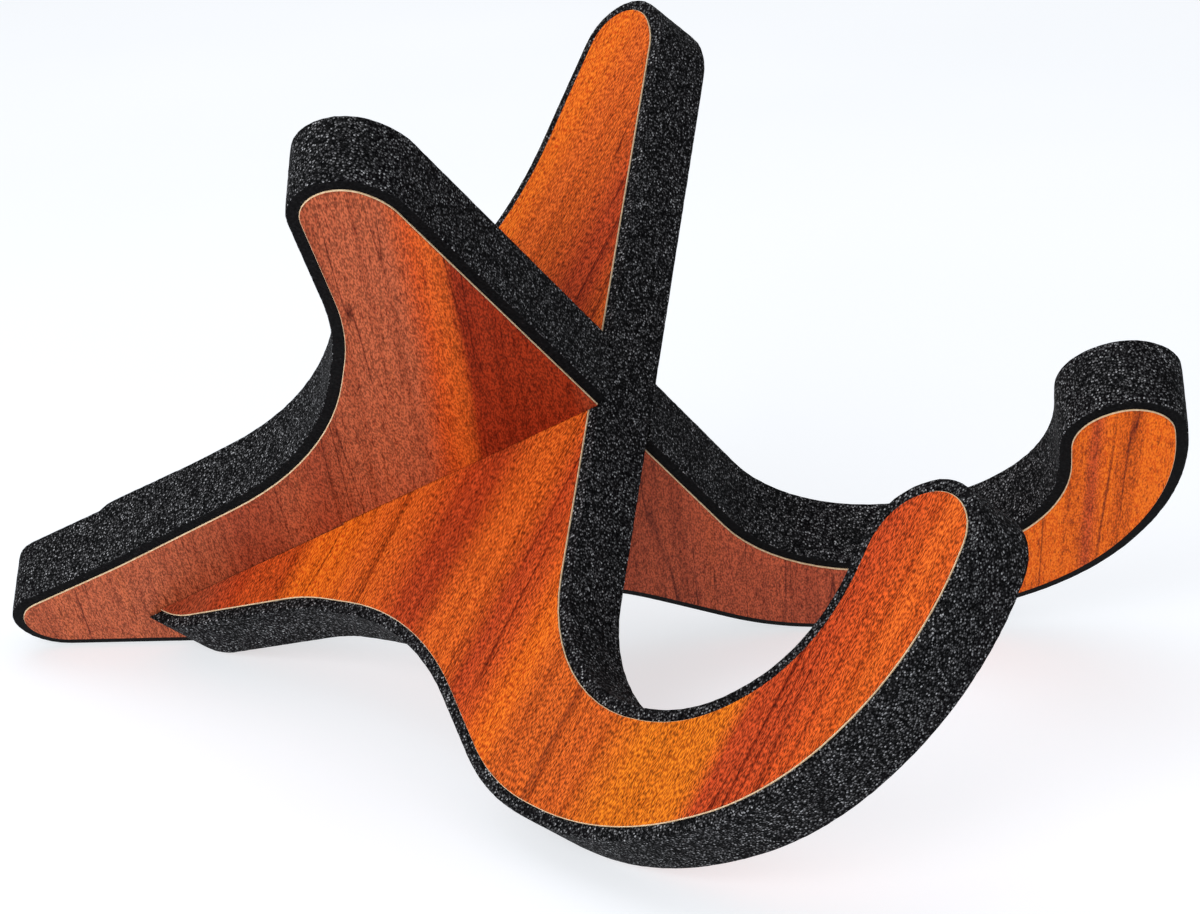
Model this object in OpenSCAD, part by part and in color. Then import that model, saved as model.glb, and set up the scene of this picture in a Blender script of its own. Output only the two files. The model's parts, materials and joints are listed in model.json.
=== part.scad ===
// Take-apart stand for a small guitar or a ukulele.
// Two equal foam-cored panels cross at an upright angle on a sloping line.
// Each has a half-length slot along that line, one open to the front and
// one open to the rear, so the left panel slides down over the right one.
//
// Frame: +Z up, the cradle hooks point to -Y, and the origin is on the floor
// under the middle of the stand. "Left" and "right" are the sides of the
// hooks, as a person in front of the stand sees them (+X is right).
//
// Each panel is drawn flat, in its own plane: x runs forward along the floor
// line, y runs up in the panel, and z is its thickness.

/* [Panel] */
// Thickness of the foam core
foam_t = 17; // [14:0.5:22]
// Thickness of the pale backing board glued to each side of the core
board_t = 0.4; // [0.3:0.1:1.5]
// Thickness of the printed wood-grain sheet on each board
print_t = 0.2; // [0.1:0.05:0.3]
// Foam left bare all round the boards
ledge = 3; // [1.5:0.25:4]
// Pale board left bare all round the printed sheet
rim = 0.15; // [0.05:0.05:0.6]

/* [Crossing] */
// Angle between the two panels
cross_angle = 90; // [86:1:94]
// Rise of the slots from the floor line, measured in the panel
slot_angle = 36.5; // [35:0.5:40]
// Height in the panel where the slot line passes x = 0
slot_height = 50; // [47:1:53]
// Free play between a slot and the panel in it, at each side and at the end
play = 0.3; // [0.2:0.05:0.6]

/* [Smoothness] */
// Segments in each rounded corner of the outline
corner_steps = 12; // [6:1:24]

/* [Hidden] */

// Corners of the panel's outline, counter-clockwise from the tip of the rear
// foot: x, y and the radius that rounds the corner.
CORNERS = [
    [-124.5, 0, 12.5],    // tip of the rear foot
    [-40, 0, 30],         // end of the sole
    [4, 19, 66],          // arch, rear
    [44.5, 26.5, 70],     // arch, front
    [94.5, 0, 53],        // underside of the hook, rear
    [134, 0, 83],         // underside of the hook, front
    [173.5, 23.5, 67],    // outer bend of the hook, low
    [193.5, 63.5, 75],    // outer bend of the hook, high
    [187.5, 106.5, 13],   // tip of the hook, outer
    [160.5, 91.5, 17.5],  // tip of the hook, inner
    [162.5, 56, 39],      // cradle, front
    [140, 34.5, 40],      // cradle, low front
    [99, 26.5, 37],       // cradle, low rear
    [21.5, 181.5, 19],    // tip of the arm, front
    [-6.5, 203, 12.5],    // tip of the arm, rear
    [1.5, 134.5, 70],     // back of the arm
    [-9, 85, 86],         // hollow between arm and foot
    [-67.5, 40, 250]      // back of the foot
];

FOAM = [0.09, 0.09, 0.1];
BACKING = [0.86, 0.72, 0.54];
PRINT = [0.66, 0.31, 0.13];

half_cross = cross_angle / 2;
line_slope = atan(tan(slot_angle) * cos(half_cross));
lean = asin(sin(half_cross) * cos(line_slope));
total_t = foam_t + 2 * (board_t + print_t);
slot_w = total_t + 2 * play;
far = 400;

function unit(v) = v / norm(v);
function left_of(v) = [-v[1], v[0]];
function corner(i) = CORNERS[(i + len(CORNERS)) % len(CORNERS)];
function corner_xy(i) = [corner(i)[0], corner(i)[1]];

// Points of one rounded corner, with the whole outline drawn in by inset.
function corner_arc(i, inset) =
    let (
        way_in = unit(corner_xy(i) - corner_xy(i - 1)),
        way_out = unit(corner_xy(i + 1) - corner_xy(i)),
        turn = atan2(way_in[0] * way_out[1] - way_in[1] * way_out[0], way_in * way_out),
        side = sign(turn),
        radius = corner(i)[2],
        setback = radius * abs(tan(turn / 2)),
        centre = corner_xy(i) - way_in * setback + left_of(way_in) * side * radius,
        spoke = -left_of(way_in) * side,
        start = atan2(spoke[1], spoke[0])
    )
    [for (k = [0 : corner_steps])
        let (a = start + turn * k / corner_steps)
        centre + (radius - side * inset) * [cos(a), sin(a)]];

function outline(inset) = [for (i = [0 : len(CORNERS) - 1]) each corner_arc(i, inset)];

// Place of a point along the slot line, from the line's crossing with x = 0.
function along(p) = p[0] * cos(slot_angle) + (p[1] - slot_height) * sin(slot_angle);
function across(p) = (p[1] - slot_height) * cos(slot_angle) - p[0] * sin(slot_angle);

// The slot line leaves the panel through the sole and through the arm's front edge.
function crossings(pts) = [for (i = [0 : len(pts) - 1])
    let (a = pts[i], b = pts[(i + 1) % len(pts)], da = across(a), db = across(b))
    if (da * db < 0) along(a) + (along(b) - along(a)) * da / (da - db)];
ends = crossings(outline(0));
middle = (min(ends) + max(ends)) / 2;

// Forward place on the floor of a point of the right panel, before centring.
function forward(p, z) =
    along(p) * cos(line_slope)
    - across(p) * cos(half_cross) * sin(line_slope)
    + z * sin(half_cross) * sin(line_slope);
reach = [for (p = outline(0), z = [-foam_t / 2, foam_t / 2]) forward(p, z)];
centre_forward = (min(reach) + max(reach)) / 2;
lift = slot_height * cos(lean) + foam_t / 2 * sin(lean);

// Carries a panel from its own plane to where it stands; roll is the turn
// about the slot line.
module stand_up(roll) {
    translate([0, centre_forward, lift])
        rotate([90 + roll, -line_slope, -90])
            rotate([0, 0, -slot_angle])
                translate([0, -slot_height, 0])
                    children();
}

module right_place() {
    stand_up(half_cross) children();
}

module left_place() {
    stand_up(-half_cross) children();
}

// The half of the slot line that runs to the front, as a cutter.
module front_slot() {
    translate([0, slot_height, 0])
        rotate([0, 0, slot_angle])
            translate([middle - play / 2, -slot_w / 2, -far / 2])
                cube([far, slot_w, far]);
}

// The half that runs to the rear.
module rear_slot() {
    translate([0, slot_height, 0])
        rotate([0, 0, slot_angle])
            translate([middle + play / 2 - far, -slot_w / 2, -far / 2])
                cube([far, slot_w, far]);
}

// One layer of a panel between two heights in its thickness.
module layer(inset, from, to) {
    translate([0, 0, from])
        linear_extrude(to - from)
            polygon(outline(inset));
}

module core() {
    layer(0, -foam_t / 2, foam_t / 2);
}

module plus_board() {
    layer(ledge, foam_t / 2, foam_t / 2 + board_t);
}

module plus_print() {
    layer(ledge + rim, foam_t / 2 + board_t, total_t / 2);
}

module minus_board() {
    layer(ledge, -foam_t / 2 - board_t, -foam_t / 2);
}

module minus_print() {
    layer(ledge + rim, -total_t / 2, -foam_t / 2 - board_t);
}

module right_layer() {
    right_place() difference() {
        children();
        front_slot();
    }
}

module left_layer() {
    left_place() difference() {
        children();
        rear_slot();
    }
}

// Foam slab of the panel whose hook is at the right; its slot opens forward.
module right_foam_core() {
    color(FOAM) right_layer() core();
}

// Backing board under that panel, on the face that looks down.
module right_lower_board() {
    color(BACKING) right_layer() plus_board();
}

module right_lower_print() {
    color(PRINT) right_layer() plus_print();
}

module right_upper_board() {
    color(BACKING) right_layer() minus_board();
}

module right_upper_print() {
    color(PRINT) right_layer() minus_print();
}

// Foam slab of the panel whose hook is at the left; its slot opens to the rear.
module left_foam_core() {
    color(FOAM) left_layer() core();
}

module left_lower_board() {
    color(BACKING) left_layer() minus_board();
}

module left_lower_print() {
    color(PRINT) left_layer() minus_print();
}

module left_upper_board() {
    color(BACKING) left_layer() plus_board();
}

module left_upper_print() {
    color(PRINT) left_layer() plus_print();
}

right_foam_core();
right_lower_board();
right_lower_print();
right_upper_board();
right_upper_print();
left_foam_core();
left_lower_board();
left_lower_print();
left_upper_board();
left_upper_print();
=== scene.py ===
import json
import math

import bpy
from mathutils import Matrix, Vector


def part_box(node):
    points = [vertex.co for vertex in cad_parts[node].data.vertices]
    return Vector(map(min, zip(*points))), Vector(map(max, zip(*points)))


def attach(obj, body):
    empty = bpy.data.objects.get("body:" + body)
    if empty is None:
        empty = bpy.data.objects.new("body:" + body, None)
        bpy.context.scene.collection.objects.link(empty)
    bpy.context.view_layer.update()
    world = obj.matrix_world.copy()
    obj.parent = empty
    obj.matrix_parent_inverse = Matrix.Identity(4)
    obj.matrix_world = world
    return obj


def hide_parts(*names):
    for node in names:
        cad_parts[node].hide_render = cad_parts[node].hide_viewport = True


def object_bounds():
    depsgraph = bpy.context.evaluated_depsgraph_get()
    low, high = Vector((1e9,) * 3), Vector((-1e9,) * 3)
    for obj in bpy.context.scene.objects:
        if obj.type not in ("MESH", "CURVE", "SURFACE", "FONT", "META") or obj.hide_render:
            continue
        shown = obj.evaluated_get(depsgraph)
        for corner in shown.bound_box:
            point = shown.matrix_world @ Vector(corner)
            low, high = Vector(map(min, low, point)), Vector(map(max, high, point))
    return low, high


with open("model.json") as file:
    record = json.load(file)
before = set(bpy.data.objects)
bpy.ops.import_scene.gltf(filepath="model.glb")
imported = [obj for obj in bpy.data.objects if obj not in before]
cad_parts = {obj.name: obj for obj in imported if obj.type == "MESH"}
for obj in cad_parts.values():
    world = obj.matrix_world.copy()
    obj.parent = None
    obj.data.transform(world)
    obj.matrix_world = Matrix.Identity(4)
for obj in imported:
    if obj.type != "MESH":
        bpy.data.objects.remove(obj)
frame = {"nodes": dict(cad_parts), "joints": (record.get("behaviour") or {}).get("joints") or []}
cad_low, cad_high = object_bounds()

# A take-apart stand for a small guitar: two foam-cored panels that cross at
# the slots. Each panel is a black foam core with a pale board glued to each
# side, and on each board a printed wood-grain sheet.

MM = 0.001

# Rise of the slots from the panel's floor line
SLOT_ANGLE = math.radians(36.5)

# Foam: length and number of the divisions of its cut edge, width of its soft
# arris, and depth and size of the lumps in the cut
FOAM_STEP = 1.2 * MM
FOAM_ROWS = 12
FOAM_ARRIS = 0.35 * MM
FOAM_ROUGH = 0.16 * MM
FOAM_CELL = 1.3 * MM

# Width of the bevel on the boards and the printed sheets
BOARD_ARRIS = 0.08 * MM
PRINT_ARRIS = 0.06 * MM

# Corners nearer than this are one corner, and so are heights in a flat face
SAME_PLACE = 0.01 * MM

# Cosines: of a face's normal, or an edge's line, with the line through the thickness
FLAT_FACE = 0.97
LEVEL_FACE = 0.9
THROUGH_EDGE = 0.9
OUTLINE_EDGE = 0.1

# Largest turns, in degrees, that are shaded smooth
FOAM_SMOOTH = 50
BOARD_SMOOTH = 40

# Camera
VIEW_AZIMUTH = -61.28
VIEW_ELEVATION = 18.22
VIEW_ROLL = -2.63
VIEW_DISTANCE = 771.0 * MM
VIEW_AIM = Vector((43.5, 4.1, 47.1)) * MM
VIEW_LENS = 93.28

# Studio
FLOOR_SIZE = 14.0
COOL_WHITE = (0.96, 0.98, 1.0, 1.0)
PLAIN_WHITE = (1.0, 1.0, 1.0)


# ---------------------------------------------------------------- the frame

def middle(node):
    """The middle of a CAD node's box."""
    low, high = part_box(node)
    return (low + high) / 2


class Panel:
    """Directions of one panel: along the floor line, up the panel, and out of its near face."""

    def __init__(self, side, near, far):
        slide = Vector(frame["joints"][0]["axis"]).normalized()
        self.side = side
        self.body = side + "_panel"
        self.near = near
        self.far = far
        self.outward = (middle(f"{side}_{near}_print") - middle(f"{side}_{far}_print")).normalized()
        self.under = self.outward if near == "lower" else -self.outward
        across = self.outward.cross(slide)
        self.forward = slide * math.cos(SLOT_ANGLE) - across * math.sin(SLOT_ANGLE)
        self.upward = slide * math.sin(SLOT_ANGLE) + across * math.cos(SLOT_ANGLE)
        points = [v.co for v in frame["nodes"][side + "_foam_core"].data.vertices]
        rear = min(p.dot(self.forward) for p in points)
        sole = min(p.dot(self.upward) for p in points)
        self.heel = self.forward * rear + self.upward * sole

    def turn(self):
        """The panel's own directions as a rotation."""
        return Matrix((self.forward, self.upward, self.outward)).transposed().to_euler()


# ---------------------------------------------------------------- materials

def tone(red, green, blue):
    """A colour from its screen values, 0 to 255, as Blender wants it."""
    def linear(value):
        share = value / 255
        if share <= 0.04045:
            return share / 12.92
        return ((share + 0.055) / 1.055) ** 2.4
    return (linear(red), linear(green), linear(blue), 1.0)


def new_material(name):
    """A material, its node tree and its shader."""
    material = bpy.data.materials.new(name)
    material.use_nodes = True
    shader = material.node_tree.nodes["Principled BSDF"]
    return material, material.node_tree, shader


def put(tree, kind, inputs=None, **settings):
    """Adds a node, sets it up, and links or fills its inputs."""
    node = tree.nodes.new(kind)
    for key, value in settings.items():
        setattr(node, key, value)
    for key, value in (inputs or {}).items():
        socket = node.inputs[key]
        if isinstance(value, bpy.types.NodeSocket):
            tree.links.new(value, socket)
        else:
            socket.default_value = value
    return node


def object_place(tree):
    """Metres from the middle of the floor under the stand."""
    return put(tree, "ShaderNodeTexCoord").outputs["Object"]


def panel_place(tree, panel):
    """Metres from the panel's heel: x across the grain, y along it, z out of the face."""
    spot = put(tree, "ShaderNodeMapping", {"Vector": object_place(tree)}, vector_type="TEXTURE")
    spot.inputs["Location"].default_value = panel.heel
    spot.inputs["Rotation"].default_value = panel.turn()
    return spot.outputs["Vector"]


def stretched(tree, place, across, along, shift=0.0):
    """The same place, scaled so that one unit is one mark of a pattern."""
    inputs = {"Vector": place, "Scale": (across, along, across), "Location": (shift, shift, shift)}
    return put(tree, "ShaderNodeMapping", inputs).outputs["Vector"]


def noise(tree, vector, scale=1.0, detail=2.0, roughness=0.5):
    """Cloudy noise, mostly between 0.3 and 0.7."""
    inputs = {"Vector": vector, "Scale": scale, "Detail": detail, "Roughness": roughness}
    return put(tree, "ShaderNodeTexNoise", inputs).outputs["Fac"]


def spread(tree, value, low, high, new_low=0.0, new_high=1.0):
    """Stretches values between low and high over a new range, and clips the rest."""
    inputs = {
        "Value": value,
        "From Min": low,
        "From Max": high,
        "To Min": new_low,
        "To Max": new_high,
    }
    return put(tree, "ShaderNodeMapRange", inputs).outputs["Result"]


def maths(tree, operation, first, second):
    """One sum on two values, or on the first alone."""
    node = put(tree, "ShaderNodeMath", {0: first, 1: second}, operation=operation)
    return node.outputs["Value"]


def blended(tree, mode, share, base, top):
    """A colour laid over another by that share."""
    node = put(tree, "ShaderNodeMix", data_type="RGBA", blend_type=mode)
    for name, value in (("Factor_Float", share), ("A_Color", base), ("B_Color", top)):
        socket = next(s for s in node.inputs if s.identifier == name)
        if isinstance(value, bpy.types.NodeSocket):
            tree.links.new(value, socket)
        else:
            socket.default_value = value
    return next(s for s in node.outputs if s.identifier == "Result_Color")


def ramp(tree, value, stops):
    """A colour ramp from (place, colour) pairs, with places from 0 to 1."""
    node = put(tree, "ShaderNodeValToRGB", {"Fac": value})
    bar = node.color_ramp.elements
    while len(bar) < len(stops):
        bar.new(0.5)
    for mark, (place, colour) in zip(bar, stops):
        mark.position = place
        mark.color = colour
    return node.outputs["Color"]


def bumped(tree, shader, height, depth, strength):
    """Gives the shader a relief of that depth."""
    inputs = {"Height": height, "Distance": depth, "Strength": strength}
    bump = put(tree, "ShaderNodeBump", inputs)
    tree.links.new(bump.outputs["Normal"], shader.inputs["Normal"])


def black_foam():
    """Cut closed-cell foam: near black, with grey flecks at its open cells, partly the foam's own
    grey and partly painted glints of cells catching the light.
    """
    material, tree, shader = new_material("black_foam")
    place = object_place(tree)
    cells = put(tree, "ShaderNodeTexVoronoi", {"Vector": place, "Scale": 1950.0}, feature="F1")
    chance = put(tree, "ShaderNodeSeparateColor", {"Color": cells.outputs["Color"]}).outputs["Red"]
    patches = spread(tree, noise(tree, place, 260.0, 3.0, 0.6), 0.30, 0.70, -0.08, 0.08)
    luck = maths(tree, "ADD", chance, patches)
    # Grey flecks in the colour: the foam's own grey, with painted glints of the cells on top
    fleck_and_painted_glint = ramp(tree, luck, [
        (0.10, tone(6, 6, 7)),
        (0.45, tone(60, 60, 62)),
        (0.85, tone(106, 106, 108)),
        (1.00, tone(170, 171, 174)),
    ])
    spot = spread(tree, cells.outputs["Distance"], 0.24, 0.58, 1.0, 0.0)
    grit = noise(tree, place, 1900.0, 3.0, 0.7)
    ground = ramp(tree, grit, [(0.42, tone(3, 3, 4)), (0.68, tone(28, 28, 29))])
    colour = blended(tree, "MIX", spot, ground, fleck_and_painted_glint)
    tree.links.new(colour, shader.inputs["Base Color"])
    shader.inputs["Roughness"].default_value = 0.75
    shader.inputs["Specular IOR Level"].default_value = 0.04
    shader.inputs["IOR"].default_value = 1.3
    relief = maths(tree, "ADD", grit, maths(tree, "MULTIPLY", spot, chance))
    bumped(tree, shader, relief, 0.12 * MM, 0.8)
    return material


def shaded_underside_foam():
    """Foam for the flat sides that face down, smoother and blacker than a cut: the blacker colour
    is painted shade.
    """
    material, tree, shader = new_material("shaded_underside_foam")
    place = object_place(tree)
    grain = noise(tree, place, 1500.0, 3.0, 0.65)
    colour = ramp(tree, grain, [
        (0.40, tone(7, 7, 8)),
        (0.66, tone(20, 20, 21)),
        (0.76, tone(46, 46, 48)),
    ])
    tree.links.new(colour, shader.inputs["Base Color"])
    shader.inputs["Roughness"].default_value = 0.65
    shader.inputs["Specular IOR Level"].default_value = 0.06
    shader.inputs["IOR"].default_value = 1.3
    bumped(tree, shader, grain, 0.05 * MM, 0.5)
    return material


def pale_board():
    """Raw edge of the pressed backing board."""
    material, tree, shader = new_material("pale_board")
    place = object_place(tree)
    fibre = noise(tree, place, 1200.0, 4.0, 0.65)
    colour = ramp(tree, fibre, [(0.30, tone(196, 160, 118)), (0.70, tone(238, 214, 178))])
    tree.links.new(colour, shader.inputs["Base Color"])
    shader.inputs["Roughness"].default_value = 0.8
    bumped(tree, shader, fibre, 0.06 * MM, 0.5)
    return material


# Tones of the printed grain
PINKISH = tone(170, 86, 56)
COCOA = tone(160, 78, 50)
CHESTNUT = tone(148, 66, 42)
MAROON = tone(164, 74, 46)
BARK = tone(110, 44, 24)
DARK_RUSSET = tone(138, 44, 20)
RUSSET = tone(172, 64, 30)
BRICK = tone(188, 76, 30)
NUTMEG = tone(192, 88, 32)
COPPER = tone(204, 92, 32)
ORANGE = tone(220, 104, 28)
AMBER = tone(202, 106, 24)
FIRE = tone(224, 102, 12)

# Bands across each sheet: distance from the heel of the panel, and tone.
QUIET_BANDS = [
    (0, PINKISH),
    (41, PINKISH),
    (49, COCOA),
    (57, COCOA),
    (63, CHESTNUT),
    (71, CHESTNUT),
    (79, COCOA),
    (87, CHESTNUT),
    (95, PINKISH),
    (113, PINKISH),
    (118, BRICK),
    (123, COPPER),
    (126, DARK_RUSSET),
    (149, DARK_RUSSET),
    (159, MAROON),
    (216, MAROON),
    (236, COPPER),
    (251, FIRE),
    (265, FIRE),
    (267, RUSSET),
    (270, FIRE),
    (310, FIRE),
]
LIVELY_BANDS = [
    (0, CHESTNUT),
    (63, CHESTNUT),
    (73, RUSSET),
    (81, BRICK),
    (88, BRICK),
    (95, ORANGE),
    (106, ORANGE),
    (113, COPPER),
    (122, COPPER),
    (135, RUSSET),
    (142, RUSSET),
    (151, COPPER),
    (160, COPPER),
    (167, RUSSET),
    (175, BRICK),
    (183, ORANGE),
    (191, NUTMEG),
    (204, NUTMEG),
    (205, BARK),
    (206, NUTMEG),
    (216, NUTMEG),
    (231, AMBER),
    (248, AMBER),
    (253, RUSSET),
    (263, RUSSET),
    (271, BRICK),
    (279, COPPER),
    (291, BRICK),
    (310, BRICK),
]
# Where the last band ends, which is past the far end of a panel
SHEET_WIDTH = 310

# How strongly the painted highlights and shade of the embossed ticks show in the colour, from 0 to
# 1
QUIET_TICKS = 0.4
LIVELY_TICKS = 0.6


def vein_lines(tree, place, across, along, seed, width):
    """Thin lines along the grain, where a stretched noise passes through its middle value."""
    wave = noise(tree, stretched(tree, place, across, along, seed), 1.0, 1.0, 0.5)
    distance = maths(tree, "ABSOLUTE", maths(tree, "SUBTRACT", wave, 0.5), 0.0)
    thin = spread(tree, distance, 0.0, width, 1.0, 0.0)
    where = noise(tree, stretched(tree, place, 90.0, 16.0, seed + 5), 1.0, 2.0, 0.5)
    return maths(tree, "MULTIPLY", thin, spread(tree, where, 0.42, 0.56))


def wood_print(name, panel, bands, tick_paint_share, seed):
    """A printed wood-grain sheet: broad bands, streaks, veins, pores and embossed ticks, the ticks
    also painted into the colour as highlights and shade.
    """
    material, tree, shader = new_material(name)
    place = panel_place(tree, panel)

    wander = noise(tree, stretched(tree, place, 12.0, 7.0, seed), 1.0, 2.0)
    shift = spread(tree, wander, 0.3, 0.7, -2 * MM, 2 * MM)
    across = put(tree, "ShaderNodeSeparateXYZ", {"Vector": place}).outputs["X"]
    spot = spread(tree, maths(tree, "ADD", across, shift), 0.0, SHEET_WIDTH * MM)
    broad = ramp(tree, spot, [(mark / SHEET_WIDTH, colour) for mark, colour in bands])

    streak = noise(tree, stretched(tree, place, 330.0, 7.0, seed + 3), 1.0, 5.0, 0.65)
    shade = ramp(tree, streak, [
        (0.30, tone(212, 198, 190)),
        (0.52, tone(252, 252, 252)),
        (0.70, tone(255, 255, 244)),
    ])
    streaked = blended(tree, "MULTIPLY", 1.0, broad, shade)

    veins = vein_lines(tree, place, 170.0, 3.5, seed + 7, 0.013)
    vein_share = maths(tree, "MULTIPLY", veins, 0.85)
    veined = blended(tree, "MULTIPLY", vein_share, streaked, tone(120, 68, 54))

    pore = noise(tree, stretched(tree, place, 1900.0, 260.0, seed + 11), 1.0, 2.0, 0.6)
    pore_share = spread(tree, pore, 0.54, 0.70, 0.0, 0.7)
    pored = blended(tree, "MULTIPLY", pore_share, veined, tone(150, 98, 84))

    # Embossed ticks: a real relief and roughness, and light and dark dots painted into the colour
    # as their highlights and shade
    tick = noise(tree, stretched(tree, place, 3600.0, 1100.0, seed + 17), 1.0, 0.0, 0.5)
    light = ramp(tree, tick, [
        (0.34, (0.0, 0.0, 0.0, 1.0)),
        (0.66, (1.0, 0.98, 0.92, 1.0)),
    ])
    with_painted_tick_light = blended(tree, "OVERLAY", tick_paint_share, pored, light)
    tree.links.new(with_painted_tick_light, shader.inputs["Base Color"])

    satin = spread(tree, tick, 0.35, 0.70, 0.58, 0.40)
    tree.links.new(satin, shader.inputs["Roughness"])
    shader.inputs["Specular IOR Level"].default_value = 0.3
    shader.inputs["IOR"].default_value = 1.2
    relief = maths(tree, "SUBTRACT", tick, maths(tree, "MULTIPLY", pore, 0.5))
    bumped(tree, shader, relief, 0.06 * MM, 0.6)
    return material


# ------------------------------------------------------------ making pieces

def pick(piece):
    """Makes one object the active and only selected one."""
    bpy.ops.object.select_all(action="DESELECT")
    piece.select_set(True)
    bpy.context.view_layer.objects.active = piece


def edit(piece, mode):
    """Enters edit mode on faces or edges, with nothing selected."""
    pick(piece)
    bpy.ops.object.mode_set(mode="EDIT")
    bpy.ops.mesh.select_mode(type=mode)
    bpy.ops.mesh.select_all(action="DESELECT")


def done():
    """Leaves edit mode."""
    bpy.ops.object.mode_set(mode="OBJECT")


def edit_edges(piece, wanted):
    """Enters edit mode with just those edges selected that wanted(edge) is true for."""
    edit(piece, "EDGE")
    done()
    for edge in piece.data.edges:
        edge.select = wanted(edge)
    bpy.ops.object.mode_set(mode="EDIT")


def edit_faces(piece, wanted):
    """Enters edit mode with just those faces selected that wanted(face) is true for."""
    edit(piece, "FACE")
    done()
    for face in piece.data.polygons:
        face.select = wanted(face)
    bpy.ops.object.mode_set(mode="EDIT")


def height(piece, index, panel):
    """How far out along the panel's thickness a corner lies."""
    return piece.data.vertices[index].co.dot(panel.outward)


def join_flats(piece, panel, top):
    """Joins the loose triangles of one flat face of the panel into one face."""
    def is_in_flat(face):
        return all(abs(height(piece, index, panel) - top) < SAME_PLACE for index in face.vertices)

    edit_faces(piece, is_in_flat)
    bpy.ops.mesh.dissolve_faces()
    done()


def start_from(node, name, panel):
    """A new piece from a CAD node's shape, its corners merged and its flat faces joined up."""
    piece = bpy.data.objects.new(name, frame["nodes"][node].data.copy())
    bpy.context.scene.collection.objects.link(piece)
    piece.data.name = name
    piece.data.materials.clear()
    pick(piece)
    bpy.ops.mesh.customdata_custom_splitnormals_clear()
    bpy.ops.object.mode_set(mode="EDIT")
    bpy.ops.mesh.select_all(action="SELECT")
    bpy.ops.mesh.remove_doubles(threshold=SAME_PLACE)
    done()
    heights = [height(piece, point.index, panel) for point in piece.data.vertices]
    join_flats(piece, panel, max(heights))
    join_flats(piece, panel, min(heights))
    edit_faces(piece, lambda face: len(face.vertices) == 3)
    bpy.ops.mesh.dissolve_limited(angle_limit=math.radians(0.3))
    bpy.ops.mesh.select_all(action="SELECT")
    bpy.ops.mesh.normals_make_consistent(inside=False)
    done()
    return piece


def edge_line(piece, edge):
    """The vector from one end of an edge to the other."""
    first, last = (piece.data.vertices[index].co for index in edge.vertices)
    return last - first


def runs_through(piece, edge, panel):
    """Whether an edge runs through the panel's thickness."""
    return abs(edge_line(piece, edge).normalized().dot(panel.outward)) > THROUGH_EDGE


def is_flat_face(face, panel):
    """Whether a face belongs to one of the panel's two flat sides."""
    return abs(face.normal.dot(panel.outward)) > FLAT_FACE


def rim_edges(piece, panel):
    """Keys of the edges between a flat face and a cut edge of the panel."""
    flat, cut = set(), set()
    for face in piece.data.polygons:
        (flat if is_flat_face(face, panel) else cut).update(face.edge_keys)
    return flat & cut


def open_flats(piece, panel):
    """Takes the two flat faces away, which leaves the band of the cut edge."""
    edit_faces(piece, lambda face: is_flat_face(face, panel))
    bpy.ops.mesh.delete(type="ONLY_FACE")
    done()


def close_flats(piece, panel):
    """Fills the two open rims of the band with a flat face each."""
    heights = [height(piece, point.index, panel) for point in piece.data.vertices]
    for top in (max(heights), min(heights)):
        at_top = {index for index, level in enumerate(heights) if abs(level - top) < SAME_PLACE}
        edit_edges(piece, lambda edge: at_top.issuperset(edge.vertices))
        bpy.ops.mesh.edge_face_add()
        done()
    edit(piece, "FACE")
    bpy.ops.mesh.select_all(action="SELECT")
    bpy.ops.mesh.normals_make_consistent(inside=False)
    done()


def divide_outline(piece, panel, step):
    """Divides the long edges of the outline, the longest first, until none is over a step or so."""
    while True:
        cuts = {}
        for edge in piece.data.edges:
            line = edge_line(piece, edge)
            if abs(line.normalized().dot(panel.outward)) < OUTLINE_EDGE:
                cuts[edge.index] = round(line.length / step) - 1
        most = max(cuts.values())
        if most < 1:
            return
        edit_edges(piece, lambda edge: cuts.get(edge.index) == most)
        bpy.ops.mesh.subdivide(number_cuts=most)
        done()


def divide_thickness(piece, panel, rows):
    """Divides every edge that runs through the thickness."""
    edit_edges(piece, lambda edge: runs_through(piece, edge, panel))
    bpy.ops.mesh.subdivide(number_cuts=rows - 1)
    done()


def ring_flats(piece, panel, width):
    """Adds a ring inside the outline of each flat face, so that its shading stays flat."""
    edit_faces(piece, lambda face: is_flat_face(face, panel))
    bpy.ops.mesh.inset(thickness=width)
    done()


def soften_rims(piece, panel, width):
    """Draws the rims of a finely divided piece in to a soft arris."""
    rims = rim_edges(piece, panel)
    rim_points = {point for key in rims for point in key}
    ring_flats(piece, panel, width)

    def is_next_to_rim(edge):
        return runs_through(piece, edge, panel) and bool(rim_points & set(edge.vertices))

    edit_edges(piece, is_next_to_rim)
    bpy.ops.mesh.subdivide(number_cuts=1)
    done()
    rims = rim_edges(piece, panel)
    edit_edges(piece, lambda edge: edge.key in rims)
    bpy.ops.transform.shrink_fatten(value=-width / 3)
    done()


def bevel_rims(piece, panel, width):
    """Bevels the edges between the flat faces and the cut edge."""
    rims = rim_edges(piece, panel)
    edit_edges(piece, lambda edge: edge.key in rims)
    bpy.ops.mesh.bevel(offset=width, segments=2, profile=0.5, affect="EDGES")
    done()
    ring_flats(piece, panel, width)


def roughen_cut(piece, panel, depth, cell):
    """Wears the cut edge in by up to depth, in lumps the size of a cell."""
    group = piece.vertex_groups.new(name="cut")
    edit_faces(piece, lambda face: abs(face.normal.dot(panel.outward)) < LEVEL_FACE)
    bpy.ops.object.vertex_group_assign()
    done()
    lumps = bpy.data.textures.new("foam_lumps", "CLOUDS")
    lumps.noise_scale = cell
    lumps.noise_depth = 1
    displace = piece.modifiers.new("cut", "DISPLACE")
    displace.texture = lumps
    displace.texture_coords = "LOCAL"
    displace.vertex_group = group.name
    displace.mid_level = 1.0
    displace.strength = depth
    bpy.ops.object.modifier_apply(modifier=displace.name)
    piece.vertex_groups.clear()


def smooth(piece, degrees):
    """Shades smooth over every edge that turns less than that."""
    pick(piece)
    bpy.ops.object.shade_smooth_by_angle(angle=math.radians(degrees))


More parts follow.
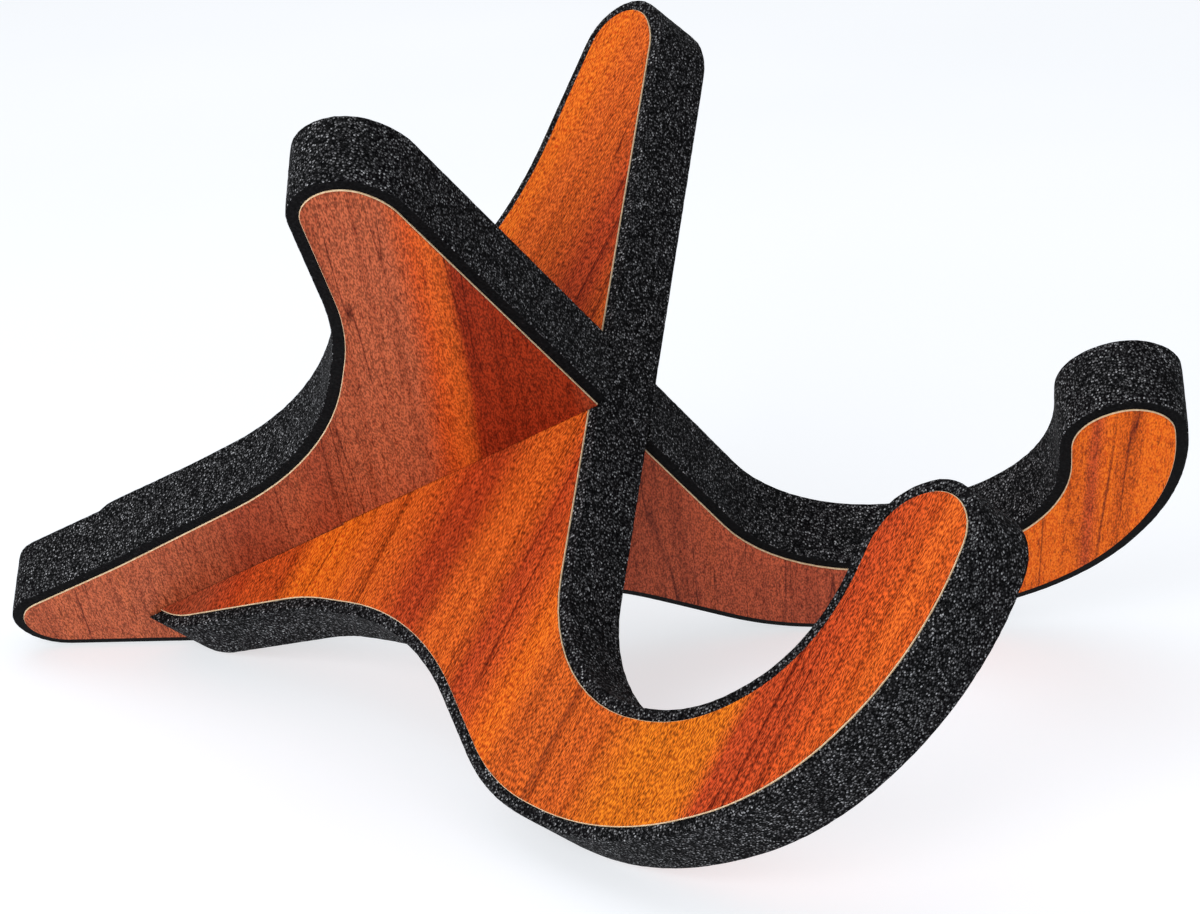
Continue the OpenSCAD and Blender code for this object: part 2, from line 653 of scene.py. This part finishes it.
def fit_to_panel(piece, panel, node):
    """The piece moves with its panel and takes the CAD node's place."""
    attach(piece, panel.body)
    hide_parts(node)


def foam_core(panel, cut, underside_shade_foam):
    """The foam core of one panel, its cut edge finely divided and a little rough."""
    node = panel.side + "_foam_core"
    piece = start_from(node, panel.side + "_foam", panel)
    open_flats(piece, panel)
    divide_outline(piece, panel, FOAM_STEP)
    divide_thickness(piece, panel, FOAM_ROWS)
    close_flats(piece, panel)
    soften_rims(piece, panel, FOAM_ARRIS)
    roughen_cut(piece, panel, FOAM_ROUGH, FOAM_CELL)
    piece.data.materials.append(cut)
    piece.data.materials.append(underside_shade_foam)
    for face in piece.data.polygons:
        # Flat faces turned down get the darker foam, painted shade; all other faces get the cut
        # foam
        face.material_index = 1 if face.normal.dot(panel.under) > LEVEL_FACE else 0
    smooth(piece, FOAM_SMOOTH)
    fit_to_panel(piece, panel, node)


def backing_board(panel, face, material):
    """The thin pale board on one side of a panel."""
    node = f"{panel.side}_{face}_board"
    piece = start_from(node, f"{panel.side}_{face}_backing", panel)
    bevel_rims(piece, panel, BOARD_ARRIS)
    piece.data.materials.append(material)
    smooth(piece, BOARD_SMOOTH)
    fit_to_panel(piece, panel, node)


def printed_sheet(panel, face, material):
    """The wood-grain sheet on one of the boards."""
    node = f"{panel.side}_{face}_print"
    piece = start_from(node, f"{panel.side}_{face}_grain", panel)
    bevel_rims(piece, panel, PRINT_ARRIS)
    piece.data.materials.append(material)
    smooth(piece, BOARD_SMOOTH)
    fit_to_panel(piece, panel, node)


# ---------------------------------------------------------------- the studio

def pale_floor():
    """A wide pale floor that glows a little, under the stand."""
    material, tree, shader = new_material("pale_floor")
    place = object_place(tree)
    cloud = noise(tree, place, 3.0, 2.0)
    colour = ramp(tree, cloud, [(0.3, tone(176, 179, 184)), (0.7, tone(182, 184, 190))])
    tree.links.new(colour, shader.inputs["Base Color"])
    shader.inputs["Emission Color"].default_value = COOL_WHITE
    shader.inputs["Emission Strength"].default_value = 0.64
    shader.inputs["Roughness"].default_value = 0.6
    shader.inputs["Specular IOR Level"].default_value = 0.2
    bpy.ops.object.select_all(action="DESELECT")
    bpy.ops.mesh.primitive_plane_add(size=FLOOR_SIZE, location=(0, 0, cad_low.z))
    floor = bpy.context.active_object
    floor.name = "floor"
    floor.data.materials.append(material)


def soft_light(name, azimuth, elevation, distance, size, power):
    """A square soft box at that bearing from the stand, facing it."""
    azimuth = math.radians(azimuth)
    elevation = math.radians(elevation)
    away = Vector((
        math.sin(azimuth) * math.cos(elevation),
        -math.cos(azimuth) * math.cos(elevation),
        math.sin(elevation),
    ))
    target = (cad_low + cad_high) / 2
    bpy.ops.object.light_add(type="AREA", location=target + away * distance)
    lamp = bpy.context.active_object
    lamp.name = name
    lamp.rotation_euler = away.to_track_quat("Z", "Y").to_euler()
    lamp.data.shape = "SQUARE"
    lamp.data.size = size
    lamp.data.energy = power
    lamp.data.color = PLAIN_WHITE


def soft_surround():
    """Pale light from all round, brightest overhead."""
    world = bpy.data.worlds.new("studio")
    bpy.context.scene.world = world
    world.use_nodes = True
    tree = world.node_tree
    glow = tree.nodes["Background"]
    glow.inputs["Color"].default_value = COOL_WHITE
    way = put(tree, "ShaderNodeTexCoord").outputs["Generated"]
    rise = put(tree, "ShaderNodeSeparateXYZ", {"Vector": way}).outputs["Z"]
    tree.links.new(spread(tree, rise, 0.1, 0.9, 0.25, 0.55), glow.inputs["Strength"])


def camera():
    """The camera on its bearing from the point it looks at."""
    azimuth = Matrix.Rotation(math.radians(VIEW_AZIMUTH), 4, "Z")
    tilt = Matrix.Rotation(math.radians(90 - VIEW_ELEVATION), 4, "X")
    roll = Matrix.Rotation(math.radians(VIEW_ROLL), 4, "Z")
    bearing = azimuth @ tilt @ roll
    away = bearing @ Vector((0, 0, VIEW_DISTANCE))
    bpy.ops.object.camera_add(location=VIEW_AIM + away, rotation=bearing.to_euler())
    eye = bpy.context.active_object
    eye.data.sensor_fit = "HORIZONTAL"
    eye.data.sensor_width = 36
    eye.data.lens = VIEW_LENS
    eye.data.clip_start = 0.02
    bpy.context.scene.camera = eye


# ------------------------------------------------------------ putting it together

right = Panel("right", "lower", "upper")
left = Panel("left", "upper", "lower")

foam = black_foam()
# Darker foam for the downward flat sides: painted shade
underside_shade_foam = shaded_underside_foam()
board = pale_board()

for panel, near_bands, far_bands, seed in (
    (right, QUIET_BANDS, LIVELY_BANDS, 0.0),
    (left, LIVELY_BANDS, QUIET_BANDS, 40.0),
):
    foam_core(panel, foam, underside_shade_foam)
    for face, bands, shift in ((panel.near, near_bands, 0.0), (panel.far, far_bands, 20.0)):
        backing_board(panel, face, board)
        tick_paint_share = QUIET_TICKS if bands is QUIET_BANDS else LIVELY_TICKS
        grain = wood_print(f"{panel.side}_{face}_wood", panel, bands, tick_paint_share, seed + shift)
        printed_sheet(panel, face, grain)

pale_floor()
soft_surround()
soft_light("top_light", azimuth=150.0, elevation=72.0, distance=1.4, size=1.6, power=6.0)
soft_light("side_light", azimuth=-90.0, elevation=22.0, distance=1.5, size=1.0, power=18.0)
camera()
bpy.context.scene.view_settings.view_transform = "Standard"
